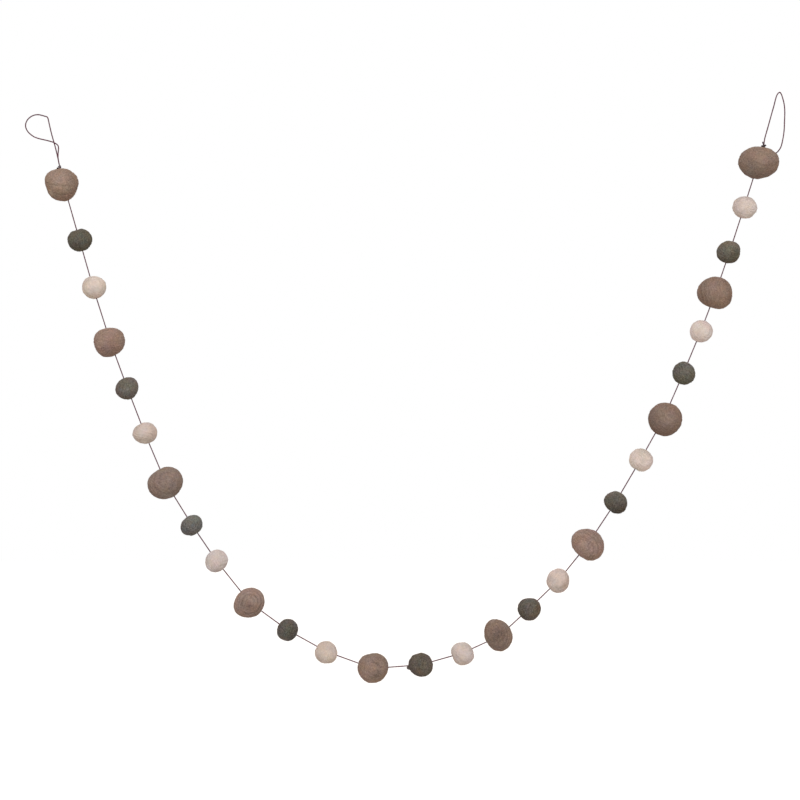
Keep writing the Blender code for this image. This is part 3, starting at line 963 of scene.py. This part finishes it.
def waves(places, size, rng, axis=None, count=28):
    # soft relief of about one unit, its waves roughly of this size
    ways = unit(rng.normal(size=(count, 3)))
    if axis is not None:  # in bands round the axis, the way that the wool is wound
        along = (ways @ axis)[:, None]
        ways = np.sign(along) * axis + (ways - along * axis) * felt["bandTilt"]
    ways *= (2 * math.pi / size * rng.uniform(*felt["waveSizes"], count))[:, None]
    starts = rng.uniform(0.0, 2 * math.pi, count)
    return np.cos(places @ ways.T + starts).sum(axis=1) * math.sqrt(2 / count)


def stringMouths(number, middle, form):
    # the directions in which the string comes out of the ball
    stops = [leftLoop[-1], *((x, 0.0, z) for x, z in threaded), rightLoop[0]]
    stops = np.array(stops) / mm - middle
    shares = np.linspace(0.01, 1.0, 500)[:, None]  # of the way to the neighbour
    mouths = []
    for neighbour in (stops[number - 1], stops[number + 1]):
        line = stops[number] + (neighbour - stops[number]) * shares
        ways = unit(line)
        out = np.linalg.norm(line, axis=1) > formTerms(ways) @ form
        mouths.append(ways[np.argmax(out)])
    return mouths


def feltFibres(rng, places, normals, faces, count):
    # loose fibres that rise from the felt and lie over, each a thin tapered spike
    looks = looseFibres
    chosen = rng.integers(0, len(faces), count)
    shares = rng.dirichlet((1.0, 1.0, 1.0), count)[:, :, None]
    roots = (places[faces[chosen]] * shares).sum(axis=1)
    up = unit((normals[faces[chosen]] * shares).sum(axis=1))
    lie = unit(np.cross(up, unit(rng.normal(size=(count, 3)))))
    across = np.cross(up, lie)
    length = looks["length"] * rng.uniform(*looks["lengths"], count)[:, None]
    lift = np.radians(rng.uniform(*looks["lift"], count))[:, None]
    curl = rng.normal(0.0, looks["curl"], count)[:, None]
    bends = roots + (lie * np.cos(lift) + up * np.sin(lift)) * length * looks["bend"]
    onward = lie * np.cos(curl) + across * np.sin(curl) + up * (np.sin(lift) * looks["rise"])
    spikes = []
    for centre, share in ((roots - up * looks["root"], 1.0), (bends, looks["bendWidth"])):
        for turn in looks["corners"]:
            offset = across * math.cos(turn) + up * math.sin(turn)
            spikes.append(centre + offset * looks["radius"] * share)
    spikes.append(bends + onward * length * looks["beyond"])
    sides = [(0, 1, 4, 3), (1, 2, 5, 4), (2, 0, 3, 5), (3, 4, 6), (4, 5, 6), (5, 3, 6), (0, 2, 1)]
    spikeFaces = [
        tuple(first + corner for corner in side)
        for first in range(0, count * len(spikes), len(spikes))
        for side in sides
    ]
    return np.stack(spikes, axis=1).reshape(-1, 3), spikeFaces


def vertexNormals(places, faces):
    corners = places[faces]
    flat = np.cross(corners[:, 1] - corners[:, 0], corners[:, 2] - corners[:, 0])
    normals = np.zeros_like(places)
    for k in range(3):
        np.add.at(normals, faces[:, k], flat)
    return unit(normals)


def readBall(name):
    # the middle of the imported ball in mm, and the soft form that fits its outside
    low, high = (np.array(corner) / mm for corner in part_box(name))
    middle = (low + high) / 2
    solid = np.array([vertex.co[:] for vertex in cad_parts[name].data.vertices]) / mm - middle
    reach = np.linalg.norm(solid, axis=1)
    outer = reach > felt["outside"] * reach.max()
    form = np.linalg.lstsq(formTerms(unit(solid[outer])), reach[outer], rcond=None)[0]
    return middle, form


def awayFrom(way, sphere):
    return np.arccos(np.clip(sphere @ way, -1, 1))


def woundRelief(places, ball, rng):
    # relief in mm, how light its bands of winding are (lighter where the winding stands high and darker where
    # it is low: partly the wool's own banding, partly painted shade), and how far grooves wander, in degrees
    size, aside = felt["drift"]
    drift = np.stack([waves(places, size, rng) for _ in range(3)], axis=1)
    places = places + drift * aside
    axis = viewed(*ball["axis"])
    other = unit(rng.normal(size=3))
    size, most = felt["crossed"]
    share = softStep(waves(places, size, rng), *felt["crossedFrom"]) * most
    size, high = felt["winding"]
    winding = waves(places, size, rng, axis) * (1 - share)
    winding += waves(places, size, rng, other) * share
    height = winding * high * ball["wound"]
    for size, high in (felt["lumps"], felt["grain"]):
        height += waves(places, size, rng) * high
    size, most = felt["grooveWander"]
    # the bands: partly the wool's own banding, partly painted shade in the low winding
    return height, 0.5 + 0.5 * np.tanh(winding), waves(places, size, rng) * most


def grooveRelief(number, sphere, size, wander):
    # relief in mm of the grooves and ridges along the winding, and the painted shade in them
    height, crease_shade = np.zeros(len(sphere)), np.zeros(len(sphere))
    for axis, angle, depth, side in ballGrooves.get(number, ()):
        found = np.degrees(awayFrom(viewed(*axis), sphere)) + wander
        away = np.radians(found - angle) * size / felt["grooveWidth"]
        shown = softStep(sphere @ onFront(*side), *felt["grooveShown"])
        groove = np.exp(-(away**2)) * shown
        height -= groove * depth
        # painted shade in the groove, lighter on a ridge
        crease_shade += groove * np.clip(depth * felt["grooveShade"], *felt["grooveShades"])
    return height, crease_shade


def dimpleRelief(number, sphere, size, mouths):
    # relief in mm of dimples, string holes and tufts, with painted shade in the dimples and holes, and the
    # tuft drawn darker
    height, crease_shade = np.zeros(len(sphere)), np.zeros(len(sphere))
    dimples = [(onFront(*row[:2]), *row[2:]) for row in ballDimples.get(number, ())]
    dimples += [(way, *felt["holeDimple"]) for way in mouths]
    for way, width, depth in dimples:
        dimple = np.exp(-((awayFrom(way, sphere) * size / width) ** 2))
        height -= dimple * depth
        # painted shade in the dimple, by its depth
        crease_shade = np.maximum(crease_shade, dimple * min(1.0, depth * felt["dimpleShade"]))
    if number in ballNubs:
        way, width, high = ballNubs[number]
        nub = np.exp(-((awayFrom(onFront(*way), sphere) * size / width) ** 3))
        height += nub * high
        # the whole tuft is drawn darker through the same mask
        crease_shade = np.maximum(crease_shade, nub)
    return height, crease_shade


def pressRelief(number, sphere):
    # how far the outline bulges, in mm, fading towards the front and the back
    aside, turn = np.hypot(sphere[:, 0], sphere[:, 2]), np.arctan2(sphere[:, 2], sphere[:, 0])
    height = np.zeros(len(sphere))
    for sides, press, face in ballPresses.get(number, ()):
        height += press * aside ** (sides + 1) * np.cos(sides * (turn - math.radians(face)))
    return height


def blendMasks(number, sphere):
    # how much lighter or darker, and how much warmer, each place is drawn
    right, up = ballFades.get(number, (0.0, 0.0))
    tone = np.exp(right * sphere[:, 0] + up * sphere[:, 2])
    warmth = np.zeros(len(sphere))
    for right, up, width, lighter, warmer in ballPatches.get(number, ()):
        patch = np.exp(-((awayFrom(onFront(right, up), sphere) / width) ** 2))
        tone *= np.exp(lighter * patch)
        warmth += warmer * patch
    return tone, warmth


def feltMaterial(number, ball):
    wool = wools[ball["wool"]]
    tint = (ball["shade"], ball["warmth"], ball["green"])
    group = {
        **feltFinish["group"],
        **wool["contrasts"],
        "Winding axis": tuple(viewed(*ball["axis"])),
        "Main": tinted(wool["colour"], *tint),
        "Warm": tinted(wool["warm"], *tint),
        "Cool": tinted(wool["cool"], *tint),
        "Golden share": wool["golden"],
    }
    return fibreFinish(f"{ball['wool']}_felt_{number:02d}", {**feltFinish, "group": group}, number)


def makeBall(number, ball, sphere, sphereFaces):
    name = f"ball_{number:02d}"
    rng = np.random.default_rng(number)
    middle, form = readBall(name)
    radius = formTerms(sphere) @ form
    size = radius.mean()
    height, streak, wander = woundRelief(sphere * radius[:, None], ball, rng)
    groove, grooveCrease = grooveRelief(number, sphere, size, wander)
    dimple, dimpleCrease = dimpleRelief(number, sphere, size, stringMouths(number, middle, form))
    height += groove + dimple + pressRelief(number, sphere)
    surface = sphere * (radius + felt["nap"] + height)[:, None]
    tone, warmth = blendMasks(number, sphere)

    normals = vertexNormals(surface, sphereFaces)
    count = looseFibres["count"][ball["wool"]]
    fibres, fibreFaces = feltFibres(rng, surface, normals, sphereFaces, count)
    faces = sphereFaces.tolist()
    faces += [tuple(corner + len(surface) for corner in face) for face in fibreFaces]
    masks = {
        label: np.concatenate([values, np.full(len(fibres), plain)])
        for label, values, plain in (
            # painted shade in grooves, dimples and string holes
            ("crease_shade", np.maximum(grooveCrease, dimpleCrease), 0.0),
            ("streak", streak, looseFibres["streak"]),
            ("tone", tone, 1.0),
            ("warmth", warmth, 0.0),
        )
    }
    finish = feltMaterial(number, ball)
    places = np.vstack([surface, fibres]) * mm
    piece = meshPiece(f"{ball['wool']}_{name}", places, faces, finish, masks, middle * mm)
    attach(piece, "root")
    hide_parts(name)


sphere, sphereFaces = unitSphere(felt["subdivisions"])
for number, row in enumerate(ballRows, start=1):
    makeBall(number, dict(zip(ballColumns, row)), sphere, sphereFaces)
print(len(ballRows), "felt balls rolled")
